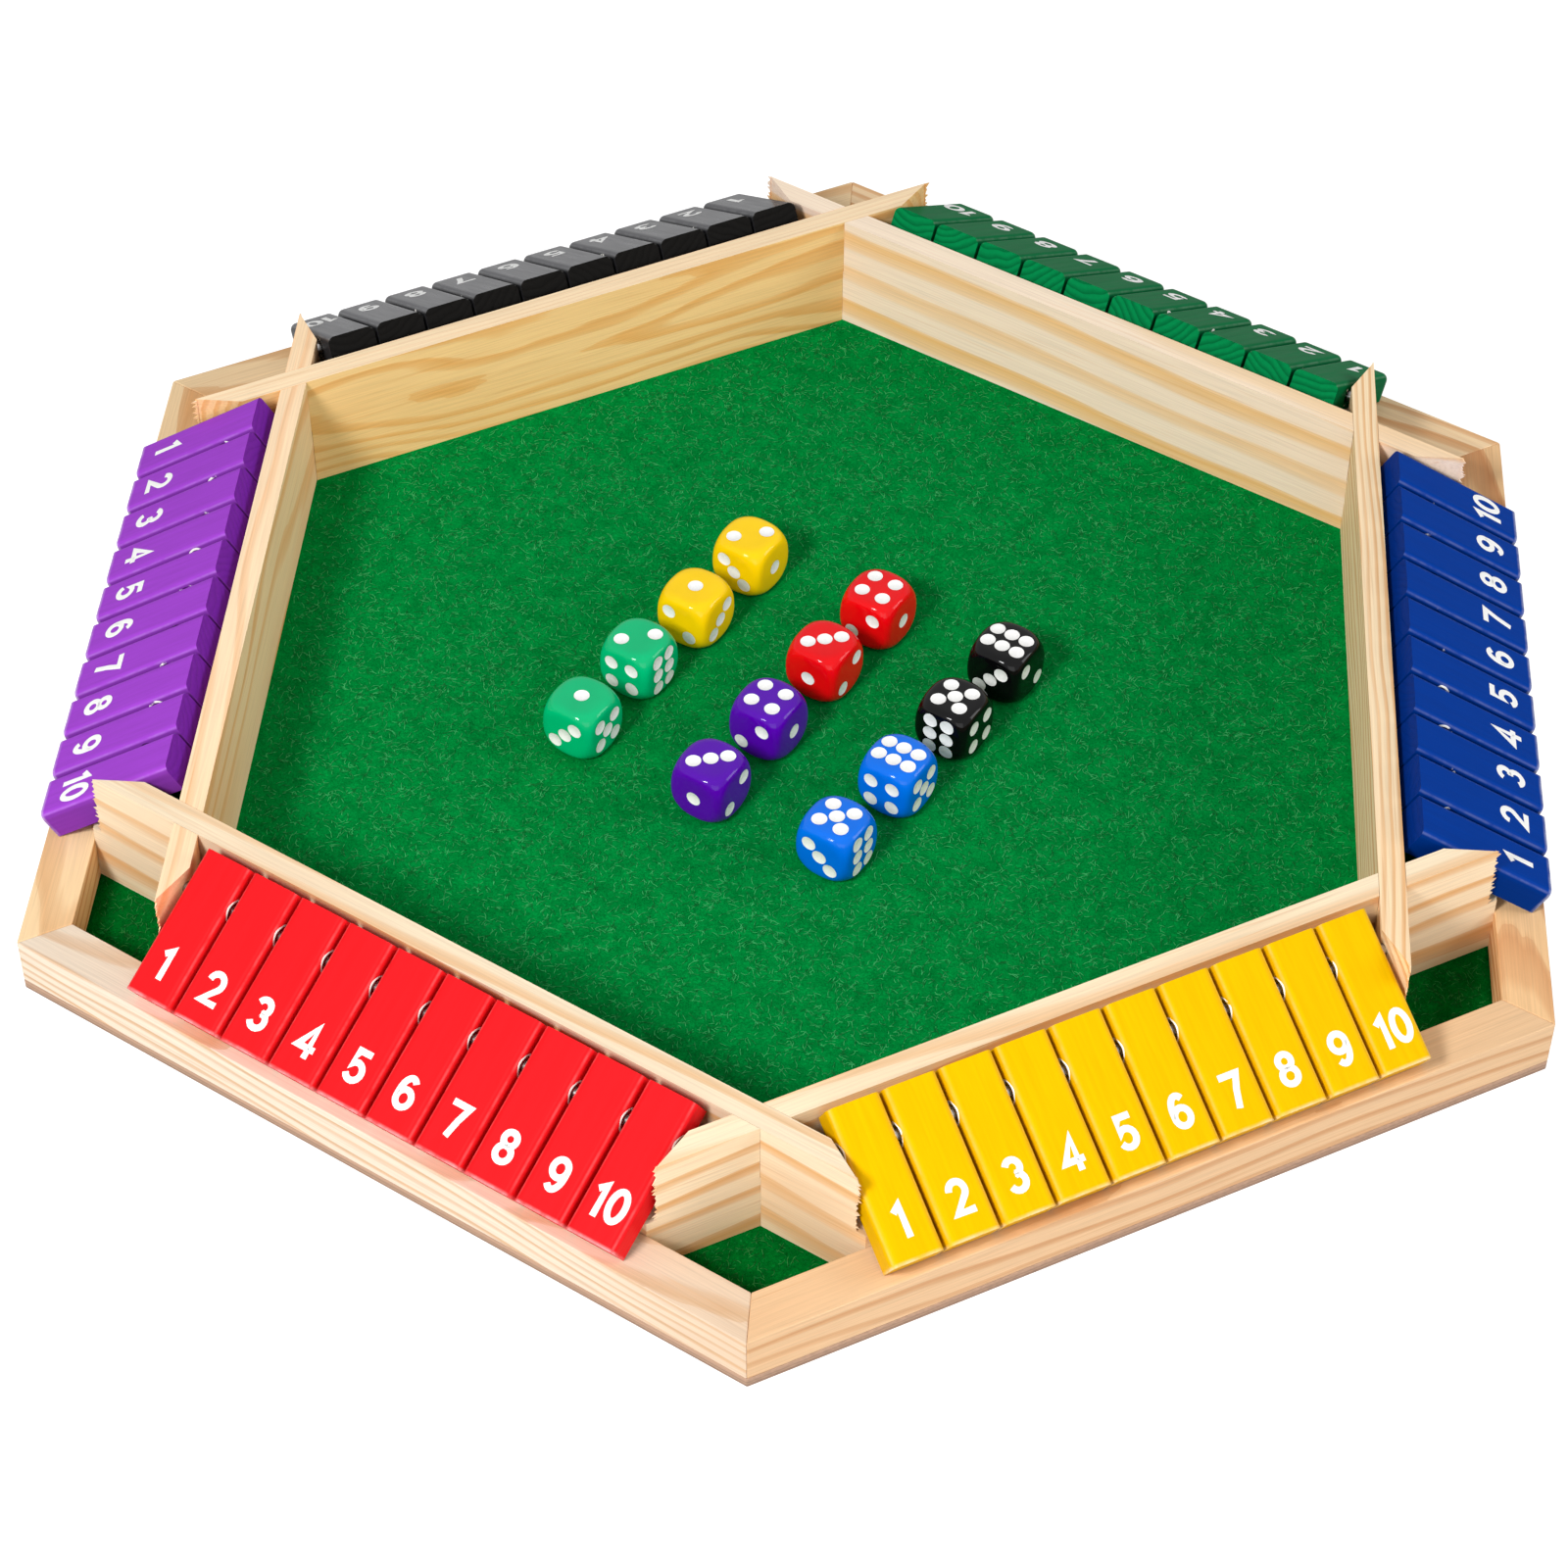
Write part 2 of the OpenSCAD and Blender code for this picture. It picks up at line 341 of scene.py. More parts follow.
def darker_in_pockets(s, where, colour):
    """The colour as it is in the play well, and darkened outside the walls as painted shade in
    the corner pockets.
    """
    ways = [(math.sin(turn), math.cos(turn), 0) for turn in (0, math.pi / 3, -math.pi / 3)]
    outs = [s.math("ABSOLUTE", s.vector("DOT_PRODUCT", where, way)) for way in ways]
    in_pocket = s.math("GREATER_THAN", s.most(*outs), sum(WALL_FACES) / 2)
    return s.tint(colour, s.mix(in_pocket, (1, 1, 1, 1), POCKET_PAINTED_SHADE))


def felt():
    """Pressed felt: dark pits and tufts, and fine hairs where a noise crosses its middle."""
    s = Shader("felt", {"Roughness": 1.0, "Specular IOR Level": 0.0})
    where = s.place()
    mottle = s.noise(s.stretch(where, (150, 150, 0)), 3, 0.6)
    nap = s.noise(s.stretch(where, (1100, 1100, 0)), 3, 0.7, 1.5)
    colour = s.mix(s.span(mottle, 0.3, 0.7), srgb(1, 123, 51), srgb(3, 141, 61))
    colour = s.tint(colour, s.curve(nap, (0.3, 0.62), (0.7, 1.34)))
    # Painted shade: the corner pockets' felt is darkened
    colour = darker_in_pockets(s, where, colour)
    height = nap
    for scale, width, shift in FELT_HAIRS:
        field = s.noise(s.stretch(where, (scale, scale, 0), (shift, shift, 0)), 1, 0.5, 0.8)
        away = s.math("ABSOLUTE", s.scaled(field, 1.0, -0.5))
        line = s.math("SUBTRACT", 1.0, s.span(away, width * 0.3, width), clamp=True)
        here = s.noise(s.stretch(where, (scale * 0.8, scale * 0.8, 0), (-shift, shift, 0)), 1)
        line = s.math("MULTIPLY", line, s.span(here, 0.52, 0.62))
        colour = s.mix(s.scaled(line, 0.35), colour, srgb(40, 165, 84))
        height = s.add(height, s.scaled(line, 0.5))
    return s.finish(colour, None, height, bump=0.3 * MM)


def fibre_green():
    """Loose fibres of the felt, some brighter than others."""
    s = Shader("felt_fibre", {"Roughness": 0.8, "Specular IOR Level": 0.15})
    where = s.place()
    patch = s.noise(s.stretch(where, (640, 640, 0)), 1)
    colour = s.mix(s.span(patch, 0.36, 0.64), srgb(0, 104, 42), srgb(58, 172, 98))
    # Painted shade: the fibres in the corner pockets are darkened
    return s.finish(darker_in_pockets(s, where, colour))


def steel():
    s = Shader("steel", {"Metallic": 1.0})
    where = s.place()
    drawn = s.noise(s.stretch(where, (500, 500, 500)), 2)
    colour = s.mix(drawn, srgb(150, 148, 146), srgb(190, 188, 186))
    return s.finish(colour, s.scaled(drawn, 0.2, 0.16))


# Spacing of the growth rings that show through a tile's paint
TILE_RING = 2.1 * MM
# Breadth of the paler line painted along a tile's edges as a painted highlight
EDGE_HIGHLIGHT_BREADTH = 1.0 * MM
# Breadth of the ring around a bore's mouth where the drill chipped the paint off; it is painted
# whiter than bare wood, as a painted highlight of the lit rim
BARE_HIGHLIT_RING = 0.45 * MM


def tile_rings(s, where, number, x, across, z):
    """The growth rings of a tile's own wood, from 0 to 1. Each has its pith elsewhere."""
    pith_across = s.scaled(s.chance(number), 50 * MM, -25 * MM)
    pith_up = s.scaled(s.chance(s.scaled(number, 1.0, 40.5)), 30 * MM, 6 * MM)
    wave = s.noise(s.stretch(where, (12, 130, 130)), 1)
    section = s.node("CombineXYZ", {1: s.math("SUBTRACT", across, pith_across),
                                    2: s.math("SUBTRACT", z, pith_up)}).outputs[0]
    radius = s.add(s.vector("LENGTH", section), s.scaled(wave, 3 * MM), s.scaled(x, 0.03))
    ring = s.math("FRACT", s.math("DIVIDE", radius, TILE_RING))
    return s.curve(ring, (0.0, 0.1), (0.3, 0.0), (0.75, 0.8), (0.9, 1.0), (1.0, 0.2))


def rubbed_edges(s, x, across, z, wear_and_highlight_noise):
    """Painted highlight: 1 along a tile's upper and outer edges, where two of its faces are near.
    """
    depths = (s.math("SUBTRACT", TILE_WIDTH / 2, s.math("ABSOLUTE", across)),
              s.math("SUBTRACT", TILE_THICKNESS / 2, z),
              s.math("SUBTRACT", TILE_LENGTH - ROD_TO_INNER_END, x))
    near = [s.math("SUBTRACT", 1.0, s.span(depth, 0.1 * MM, EDGE_HIGHLIGHT_BREADTH), clamp=True)
            for depth in depths]
    pairs = [s.math("MULTIPLY", near[a], near[b]) for a, b in ((0, 1), (1, 2), (0, 2))]
    return s.math("MULTIPLY", s.most(*pairs), s.curve(wear_and_highlight_noise, (0.35, 0.25), (0.6, 1.0)))


def chipped_rims(s, x, z, wear_and_highlight_noise, rim_chipping_and_highlight):
    """1 where paint is gone around the bores' mouths; this bare rim is painted whiter than the
    wood as a painted highlight.
    """
    from_rod = s.vector("LENGTH", s.node("CombineXYZ", {0: x, 2: z}).outputs[0])
    off_rim = s.math("SUBTRACT", from_rod, BORE_MOUTH_RADIUS + BARE_HIGHLIT_RING / 2)
    is_rim = s.math("LESS_THAN", s.math("ABSOLUTE", off_rim), BARE_HIGHLIT_RING * 0.6)
    return s.math("MULTIPLY", is_rim, s.span(wear_and_highlight_noise, 0.62 - rim_chipping_and_highlight, 0.7 - rim_chipping_and_highlight))


def paint(colour, face, end, side_painted_light, wood_shows, roughness, gloss, rim_chipping_and_highlight):
    """Paint on a row's tiles. The wood's rings show through it, most on the sawn ends. Its sides
    get a painted light level, which is painted shade where it is below 1. Its edges carry a
    painted highlight, and it is chipped off in a thin ring at the bores' mouths, painted whiter
    than bare wood as a painted highlight."""
    s = Shader(f"{colour}_paint", {"Specular IOR Level": gloss})
    row = row_frame(colour)
    where = s.place(row.translation, row.to_euler())
    x, y, z = s.parts(where)
    number = s.math("FLOOR", s.scaled(y, 1 / PITCH, TILES / 2))
    across = s.math("SUBTRACT", y, s.scaled(number, PITCH, (0.5 - TILES / 2) * PITCH))
    ring = tile_rings(s, where, number, x, across, z)
    grain = s.noise(s.stretch(where, (60, 1100, 1100)), 3)
    wear_and_highlight_noise = s.noise(s.stretch(where, (240, 240, 240)), 3, 0.6)
    outward = s.facing()
    shares = [s.math("ABSOLUTE", s.vector("DOT_PRODUCT", outward, tuple(row.col[axis][:3])))
              for axis in (0, 1)]
    is_end, is_side = (s.span(share, 0.7, 0.9) for share in shares)

    strength = s.scaled(is_end, wood_shows * 0.8, wood_shows * 0.2)
    tone = s.mix(is_end, srgb(*face), srgb(*end))
    shaded = s.tint(tone, s.curve(ring, (0.0, 1.22), (1.0, 0.5)))
    tone = s.mix(s.math("MULTIPLY", strength, 0.8), tone, shaded)
    tone = s.tint(tone, s.curve(grain, (0.3, 0.94), (0.7, 1.04)))
    # Painted light and shade: the sides are tinted by side_painted_light
    tone = s.mix(is_side, tone, s.tint(tone, (side_painted_light, side_painted_light, side_painted_light, 1)))
    # Painted highlight: the edges are mixed towards white
    edge_highlight_tone = s.mix(0.4, tone, srgb(255, 255, 255))
    tone = s.mix(s.scaled(rubbed_edges(s, x, across, z, wear_and_highlight_noise), 0.75), tone, edge_highlight_tone)
    # Chipped bare rims, painted near-white as a painted highlight
    tone = s.mix(chipped_rims(s, x, z, wear_and_highlight_noise, rim_chipping_and_highlight), tone, srgb(255, 252, 246))
    height = s.add(s.scaled(grain, 0.5), s.math("MULTIPLY", ring, s.scaled(is_end, 0.9, 0.08)))
    roughness = s.scaled(grain, 0.16, roughness - 0.08)
    return s.finish(tone, roughness, height, bump=0.045 * MM)


def plastic(colour, body):
    """Polished, slightly cloudy plastic of a die."""
    s = Shader(f"{colour}_plastic", {"Specular IOR Level": 0.2})
    where = s.place()
    cloud = s.noise(s.stretch(where, (90, 90, 90)), 2)
    haze = s.noise(s.stretch(where, (2500, 2500, 2500)), 2)
    colour = s.tint(srgb(*body), s.curve(cloud, (0.3, 0.94), (0.7, 1.05)))
    return s.finish(colour, s.scaled(haze, 0.08, 0.05), haze, bump=0.003 * MM)


def white_paint(name, roughness):
    """Printed or brushed white, not quite even."""
    s = Shader(name, {"Specular IOR Level": 0.4})
    where = s.place()
    patch = s.noise(s.stretch(where, (700, 700, 700)), 3)
    colour = s.mix(patch, srgb(242, 242, 240), srgb(254, 254, 252))
    return s.finish(colour, s.scaled(patch, 0.15, roughness), patch, bump=0.01 * MM)


# ---------------------------------------------------------------- mesh building

# Points nearer to each other than this are one: in a CAD mesh, and where a die's faces meet
CAD_SEAM = 0.001 * MM
DIE_SEAM = 0.002 * MM
# Edges that turn by more than this are eased
EASED_FROM = math.radians(35)


def new_piece(name, points, faces, material, slot, body, smooth=True):
    mesh = bpy.data.meshes.new(name)
    mesh.from_pydata(points, [], faces)
    mesh.polygons.foreach_set("use_smooth", [smooth] * len(faces))
    mesh.materials.append(material)
    piece = bpy.data.objects.new(name, mesh)
    bpy.context.scene.collection.objects.link(piece)
    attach(piece, body)
    return piece


def dress(node, material, eased=0.0):
    """Gives a CAD node its material, and its sharp edges a small rounding."""
    piece = frame["nodes"][node]
    piece.data.materials.clear()
    piece.data.materials.append(material)
    if eased:
        piece.modifiers.new("joined", "WELD").merge_threshold = CAD_SEAM
        bevel = piece.modifiers.new("eased", "BEVEL")
        bevel.width = eased
        bevel.segments = 2
        bevel.angle_limit = EASED_FROM
        piece.modifiers.new("flat_faces", "WEIGHTED_NORMAL")


# ---------------------------------------------------------------- numbers

# Digits are strokes in a box one high, drawn by the middle of the stroke. DIGIT_ADVANCE is the
# step from one digit to the next
NUMBER_HEIGHT = 8.95 * MM
STROKE = 0.185
DIGIT_WIDTH = 0.62
DIGIT_ADVANCE = 0.51
# A stroke's paint across: the turns of its rounded profile, its height, and the share of that
# which its edges keep
STROKE_TURNS = [math.radians(turn) for turn in (-90, -58, -20, 20, 58, 90)]
PAINT_HEIGHT = 0.07 * MM
PAINT_EDGE = 0.35
# Distance of the number's middle from the tile's inner end, as a share of its length
NUMBER_PLACE = 0.748


def arc(x, y, rx, ry, start, end, steps=14):
    """Points along an ellipse's edge, angles in degrees."""
    turns = [math.radians(start + (end - start) * i / steps) for i in range(steps + 1)]
    return [(x + rx * math.cos(turn), y + ry * math.sin(turn)) for turn in turns]


def digit_strokes(digit):
    half = STROKE / 2
    left, right, top = half, DIGIT_WIDTH - half, 1 - half
    middle = DIGIT_WIDTH / 2
    round_x, round_y = middle - half, 0.5 - half
    six = [arc(middle, 0.335, round_x, 0.335 - half, 0, 360, 24),
           arc(middle, 0.5, round_x, round_y, 48, 180) + [(left, 0.335)]]
    strokes = {
        0: [arc(middle, 0.5, round_x, round_y, 0, 360, 28)],
        1: [[(left + 0.04, 0.70), (middle + 0.02, top - 0.04), (middle + 0.02, 0.0)]],
        2: [arc(middle, top - 0.24, round_x, 0.24, 175, -38)
            + [(left + 0.02, half), (right + half, half)]],
        3: [arc(middle, top - 0.205, round_x - 0.02, 0.205, 160, -90),
            arc(middle, half + 0.225, round_x, 0.225, 90, -160)],
        4: [[(middle + 0.12, 0.0), (middle + 0.12, top), (left - 0.02, 0.29),
             (right + half, 0.29)]],
        5: [[(right + 0.04, top), (left + 0.09, top), (left + 0.05, 0.50)]
            + arc(middle - 0.01, half + 0.25, round_x + 0.01, 0.25, 125, -155)],
        6: six,
        7: [[(left - half, top), (right, top), (middle + 0.06, 0.48), (middle - 0.05, 0.0)]],
        8: [arc(middle, top - 0.19, round_x - 0.03, 0.19, 0, 360, 24),
            arc(middle, half + 0.22, round_x, 0.22, 0, 360, 24)],
        9: [[(DIGIT_WIDTH - px, 1 - py) for px, py in stroke] for stroke in six],
    }
    return strokes[digit]


def stroke_sections(points):
    """Cross-sections of a brushed stroke: a place, the way across and half the width."""
    closed = math.dist(points[0], points[-1]) < 1e-6
    spots = [Vector(point) for point in points]
    last = len(spots) - 1
    sections = []
    for i, spot in enumerate(spots):
        before = spots[i - 1] if i else (spots[last - 1] if closed else None)
        after = spots[i + 1] if i < last else (spots[1] if closed else None)
        ways = [(b - a).normalized() for a, b in ((before, spot), (spot, after)) if a and b]
        way = sum(ways, Vector((0, 0))).normalized()
        across = Vector((-way.y, way.x))
        widen = 1 / max(0.5, abs(way.dot(ways[0])))
        sections.append((spot, across, STROKE / 2 * widen))
    return sections


def number_mesh(number):
    """A number's strokes as low rounded ridges of paint, centred on the origin."""
    digits = [int(digit) for digit in str(number)]
    points, faces = [], []
    wide = len(STROKE_TURNS)
    for place, digit in enumerate(digits):
        shift = Vector(((place - (len(digits) - 1) / 2) * DIGIT_ADVANCE - DIGIT_WIDTH / 2, -0.5))
        for stroke in digit_strokes(digit):
            sections = stroke_sections(stroke)
            first = len(points)
            for spot, across, half in sections:
                for turn in STROKE_TURNS:
                    flat = (spot + shift + across * half * math.sin(turn)) * NUMBER_HEIGHT
                    height = PAINT_HEIGHT * (PAINT_EDGE + (1 - PAINT_EDGE) * math.cos(turn))
                    points.append((flat.x, flat.y, height))
            for i in range(len(sections) - 1):
                for j in range(wide - 1):
                    a = first + i * wide + j
                    faces.append((a, a + wide, a + wide + 1, a + 1))
    return points, faces


def add_numbers(colour, material):
    """Numbers read from outside the box: their tops point to the tile's inner end."""
    along = NUMBER_PLACE * TILE_LENGTH - ROD_TO_INNER_END
    on_face = Matrix.Translation((along, 0, TILE_THICKNESS / 2))
    read = Matrix.Rotation(math.radians(90), 4, "Z")
    for number in range(1, TILES + 1):
        points, faces = number_mesh(number)
        place = tile_frame(colour, number) @ on_face @ read
        points = [tuple(place @ Vector(point)) for point in points]
        name = f"number_{colour}_{number:02d}"
        new_piece(name, points, faces, material, f"{colour}_paint", tile_body(colour, number))


# ---------------------------------------------------------------- dice

# How sharply a die's faces meet, and the ball that rounds its corners
DIE_FACE_POWER = 12
DIE_BALL = 11 * MM
DIE_BALL_POWER = 30
# Squares along a die's face
DIE_GRID = 40
# A pip's dent is a little deeper than the paint that lies in it
PIP_DENT = 1.2 * PIP_DEPTH
PIP_PROUD = 0.03 * MM
PIP_SIDES = 28
PIP_RINGS = (0.4, 0.72, 0.92, 1.0)

# The back and the front die of each colour: the number on top, whether its pattern is turned,
# then the same for the face towards -Y and the face towards +X
DICE = {
    "red": ((4, 0, 2, 0, 1, 0), (3, 0, 1, 0, 2, 0)),
    "yellow": ((2, 0, 3, 1, 1, 0), (1, 0, 2, 1, 3, 0)),
    "blue": ((6, 1, 4, 0, 5, 0), (5, 0, 3, 1, 6, 0)),
    "green": ((2, 0, 4, 0, 6, 0), (1, 0, 3, 0, 5, 0)),
    "black": ((6, 1, 3, 0, 2, 1), (5, 0, 6, 0, 4, 0)),
    "purple": ((4, 0, 2, 0, 1, 0), (3, 0, 1, 0, 2, 0)),
}
# Each face's own directions on the die: to its right, up and outwards
DIE_FACES = {
    "top": ((1, 0, 0), (0, 1, 0), (0, 0, 1)),
    "front": ((1, 0, 0), (0, 0, 1), (0, -1, 0)),
    "right": ((0, 1, 0), (0, 0, 1), (1, 0, 0)),
    "bottom": ((1, 0, 0), (0, 1, 0), (0, 0, -1)),
    "back": ((1, 0, 0), (0, 0, 1), (0, 1, 0)),
    "left": ((0, 1, 0), (0, 0, 1), (-1, 0, 0)),
}


def pip_places(number, turned):
    slant = -1 if turned else 1
    places = [(0, 0)] if number % 2 else []
    if 1 < number < 6:
        places += [(PIP_OUT, slant * PIP_OUT), (-PIP_OUT, -slant * PIP_OUT)]
    if 3 < number < 6:
        places += [(PIP_OUT, -slant * PIP_OUT), (-PIP_OUT, slant * PIP_OUT)]
    if number == 6:
        spots = [(out * SIX_OUT, step * SIX_STEP) for out in (-1, 1) for step in (-1, 0, 1)]
        places = [(y, x) for x, y in spots] if turned else spots
    return places


def face_pips(faces):
    """Pip places of a die's six faces; opposite faces add up to seven."""
    top, top_turned, front, front_turned, right, right_turned = faces
    return {
        "top": pip_places(top, top_turned), "front": pip_places(front, front_turned),
        "right": pip_places(right, right_turned), "bottom": pip_places(7 - top, 0),
        "back": pip_places(7 - front, 0), "left": pip_places(7 - right, 0),
    }


def die_excess(x, y, z):
    """Below 1 inside the die's rounded shape, 1 on its surface."""
    corners = (math.sqrt(x * x + y * y + z * z) / DIE_BALL) ** DIE_BALL_POWER
    return sum((abs(v) / DIE_HALF) ** DIE_FACE_POWER for v in (x, y, z)) + corners


def reach(excess_at, low, high):
    """The value between low and high at which a growing excess passes 1."""
    for _ in range(22):
        middle = (low + high) / 2
        low, high = (low, middle) if excess_at(middle) > 1 else (middle, high)
    return low


def die_face_grid():
    """Surface points of the face towards +Z, in rows."""
    turns = [math.tan(math.radians(-45 + 90 * i / DIE_GRID)) for i in range(DIE_GRID + 1)]
    grid = []
    for v in turns:
        for u in turns:
            way = Vector((u, v, 1)).normalized()
            length = reach(lambda r: die_excess(way.x * r, way.y * r, way.z * r),
                           DIE_HALF / 2, 2 * DIE_HALF)
            grid.append(way * length)
    return grid


def dented(point, pips):
    """A face point, sunk where a pip is."""
    for x, y in pips:
        share = ((point.x - x) ** 2 + (point.y - y) ** 2) / PIP_RADIUS ** 2
        if share < 1:
            return point - Vector((0, 0, PIP_DENT * (1 - share)))
    return point


def face_matrix(face, centre):
    right, up, out = DIE_FACES[face]
    turn = Matrix((right, up, out)).transposed().to_4x4()
    return Matrix.Translation(centre) @ turn


def die_mesh(grid, pips, centre):
    points, faces = [], []
    wide = DIE_GRID + 1
    for face in DIE_FACES:
        place = face_matrix(face, centre)
        first = len(points)
        points += [place @ dented(point, pips[face]) for point in grid]
        flip = place.to_3x3().determinant() < 0
        for row in range(DIE_GRID):
            for column in range(DIE_GRID):
                a = first + row * wide + column
                corners = (a, a + 1, a + wide + 1, a + wide)
                faces.append(corners[::-1] if flip else corners)
    return points, faces


def pip_mesh(pips, centre):
    """The painted hollows of a die's pips."""
    points, faces = [], []
    for face in DIE_FACES:
        place = face_matrix(face, centre)
        flip = place.to_3x3().determinant() < 0
        for x, y in pips[face]:
            first = len(points)
            for ring in (0,) + PIP_RINGS:
                for side in range(PIP_SIDES if ring else 1):
                    turn = 2 * math.pi * side / PIP_SIDES
                    u = x + PIP_RADIUS * ring * math.cos(turn)
                    v = y + PIP_RADIUS * ring * math.sin(turn)
                    skin = reach(lambda h: die_excess(u, v, h), DIE_HALF / 2, DIE_HALF)
                    sunk = skin - PIP_DEPTH * (1 - ring ** 2) + PIP_PROUD
                    points.append(place @ Vector((u, v, sunk)))
            for side in range(PIP_SIDES):
                after = (side + 1) % PIP_SIDES
                fan = [(first, first + 1 + side, first + 1 + after)]
                for ring in range(len(PIP_RINGS) - 1):
                    inner = first + 1 + ring * PIP_SIDES
                    outer = inner + PIP_SIDES
                    fan.append((inner + side, outer + side, outer + after, inner + after))
                faces += [corners[::-1] if flip else corners for corners in fan]
    return points, faces


def joined(parts):
    """Several (points, faces) as one."""
    points, faces = [], []
    for more_points, more_faces in parts:
        first = len(points)
        points += more_points
        faces += [tuple(corner + first for corner in face) for face in more_faces]
    return points, faces


def die_centres(colour):
    """Middles of a colour's two dice, the one further back first."""
    corners = [corner.co for corner in frame["nodes"][f"dice_{colour}"].data.vertices]
    middle = (min(c.y for c in corners) + max(c.y for c in corners)) / 2
    centres = []
    for mine in ([c for c in corners if c.y > middle], [c for c in corners if c.y <= middle]):
        ends = [(min(c[axis] for c in mine), max(c[axis] for c in mine)) for axis in range(3)]
        centres.append(Vector([sum(end) / 2 for end in ends]))
    return centres


def weld(piece):
    """Joins a mesh's parts where they meet, so that it shades as one surface."""
    work = bmesh.new()
    work.from_mesh(piece.data)
    bmesh.ops.remove_doubles(work, verts=work.verts, dist=DIE_SEAM)
    work.to_mesh(piece.data)
    work.free()


def add_dice(colour, body_plastic, pip_white, grid):
    node = f"dice_{colour}"
    centres = die_centres(colour)
    pips = [face_pips(faces) for faces in DICE[colour]]
    mesh = joined([die_mesh(grid, p, centre) for p, centre in zip(pips, centres)])
    piece = new_piece(f"dice_bodies_{colour}", *mesh, body_plastic, f"{colour}_plastic", node)
    weld(piece)
    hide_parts(node)
    mesh = joined([pip_mesh(p, centre) for p, centre in zip(pips, centres)])
    new_piece(f"dice_pips_{colour}", *mesh, pip_white, f"{colour}_plastic", node)
    return centres


# ---------------------------------------------------------------- splinters

# A sliver's root: how far in from the wall's edge, how deep in its face and how far proud of it
SPLINTER_ROOT = 0.3 * MM
SPLINTER_ROOT_DEPTH = 0.45 * MM
SPLINTER_PROUD = 0.02 * MM
# Its tip: how far behind the face and, at random, how far past the edge; and its height
SPLINTER_TIP_BACK = 0.05 * MM
SPLINTER_REACH = (0.2 * MM, 1.5 * MM)
SPLINTER_HEIGHT = (0.6 * MM, 2.0 * MM)
# Corners this near to a plane lie in it
IN_PLANE = 0.01 * MM
# Only a wall's top corners lie above this height
NEAR_TOP = 0.9 * WALL_TOP


def thin_edge(colour, end):
    """The torn, thin upright edge at one end of a wall: how far along the wall it lies, how far
    out, and its lowest and highest point."""
    turn = Matrix.Rotation(-side_angle(colour), 3, "Z")
    corners = [turn @ corner.co for corner in frame["nodes"][f"wall_{colour}"].data.vertices]
    face = max(corner.x for corner in corners)
    outer = [c for c in corners if c.x > face - IN_PLANE]
    edge = max(end * c.y for c in outer if c.z > NEAR_TOP)
    heights = [c.z for c in outer if abs(end * c.y - edge) < IN_PLANE]
    return edge, face, min(heights), max(heights)


def splinter_mesh(colour):
    """Slivers along the grain that the saw left on a wall's two thin edges."""
    chance = random.Random(f"splinters {colour}")
    turn = Matrix.Rotation(side_angle(colour), 3, "Z")
    points, faces = [], []
    for end in (-1, 1):
        edge, face, low, high = thin_edge(colour, end)
        outer, inner = face + SPLINTER_PROUD, face - SPLINTER_ROOT_DEPTH
        z = low
        while z < high - SPLINTER_HEIGHT[0]:
            top = min(high, z + chance.uniform(*SPLINTER_HEIGHT))
            root = [(n, edge - SPLINTER_ROOT, h)
                    for n, h in ((outer, z), (outer, top), (inner, top), (inner, z))]
            past, height = chance.uniform(*SPLINTER_REACH), chance.uniform(z, top)
            tip = (face - SPLINTER_TIP_BACK, edge + past, height)
            first = len(points)
            points += [tuple(turn @ Vector((n, end * u, h))) for n, u, h in root + [tip]]
            around = [(first + i, first + (i + 1) % 4, first + 4) for i in range(4)]
            base = (first + 3, first + 2, first + 1, first)
            faces += [corners[::-end] for corners in around + [base]]
            z = top
    return points, faces


# ---------------------------------------------------------------- felt

# Kept flat and free of fibres: a band along the walls and a round under each die
WALL_CLEAR = 0.8 * MM
DIE_CLEAR = 9 * MM
# The felt's hollows: their depth, their breadth, and how far they take to reach full depth
HOLLOW_DEPTH = 0.3 * MM
HOLLOW_WIDTH = 7 * MM
HOLLOW_EDGE = 4 * MM
# Triangles along each of its six sides
FELT_GRID = 80

# Loose fibres: how many there are, the number and length of a fibre's steps, and its width
FIBRES = 22000
FIBRE_STEPS = 4
FIBRE_STEP = (0.28 * MM, 0.8 * MM)
FIBRE_WIDTH = 0.18 * MM
# How far its ends lie over the felt, and how many millimetres more its middle may
FIBRE_LIE = 0.03 * MM
FIBRE_LIFT_MM = (0.05, 0.3)
# How far it turns at each step, in radians: a bend of its own, and a part that varies
FIBRE_BEND = 0.25
FIBRE_WAVER = 0.2


def walls_apart(x, y):
    """How far a place lies inside the play well, or inside a corner pocket: over 0 is in."""
    outs = sorted((way.dot((x, y)) for way in SIDE_WAYS), reverse=True)
    inner, outer = WALL_FACES
    if outs[0] < inner:
        return inner - outs[0]
    return min(outs[1] - outer, RAIL_INNER - outs[0])


def felt_height(x, y, dice):
    """The felt's uneven top, level where walls and dice stand on it."""
    from_walls = walls_apart(x, y) - WALL_CLEAR
    from_dice = min((Vector((x, y)) - die.xy).length for die in dice) - DIE_CLEAR
    share = min(1.0, max(0.0, min(from_walls, from_dice) / HOLLOW_EDGE))
    if not share:
        return FELT_HIGH.z
    hollow = 0.5 + 0.5 * noise.noise((x / HOLLOW_WIDTH, y / HOLLOW_WIDTH, 0))
    return FELT_HIGH.z - HOLLOW_DEPTH * share * hollow


